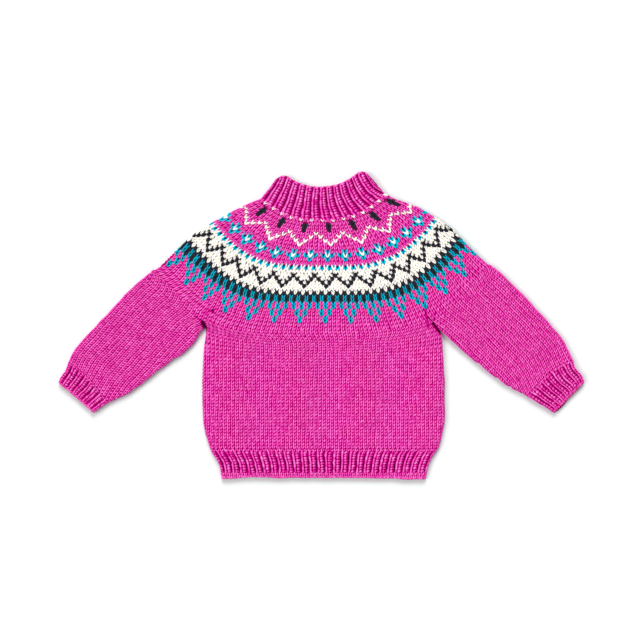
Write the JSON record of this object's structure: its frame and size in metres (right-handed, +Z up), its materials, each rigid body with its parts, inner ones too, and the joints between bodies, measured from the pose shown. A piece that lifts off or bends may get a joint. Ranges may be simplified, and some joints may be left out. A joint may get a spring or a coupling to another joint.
{
  "type": "nordic yoke sweater",
  "caption": "Child's nordic yoke sweater, knitted in the round and laid flat with its arms spread, with a patterned round yoke, ribbed stand-up collar, cuffs and hem.",
  "frame": {"origin": "middle of the sweater's outline, on the flat underside that it rests on", "axes": "+X along the arms towards the sleeve that is on the right from above, +Y from the hem to the neck, +Z up from the surface it lies on"},
  "size_m": [0.6316, 0.37, 0.0079],
  "materials": {
    "plain_knit": "worsted wool in stocking stitch, magenta pink, matt with a soft nap",
    "yoke_knit": "stranded worsted wool, magenta pink with teal, cream and near-black motifs",
    "ribbing": "worsted wool in one-by-one rib, magenta pink"
  },
  "bodies": {
    "root": {"body": "plain_knit", "sleeve_left": "plain_knit", "sleeve_right": "plain_knit", "yoke": "yoke_knit", "neckband": "ribbing", "hem_rib": "ribbing", "cuff_left": "ribbing", "cuff_right": "ribbing"}
  },
  "joints": []
}
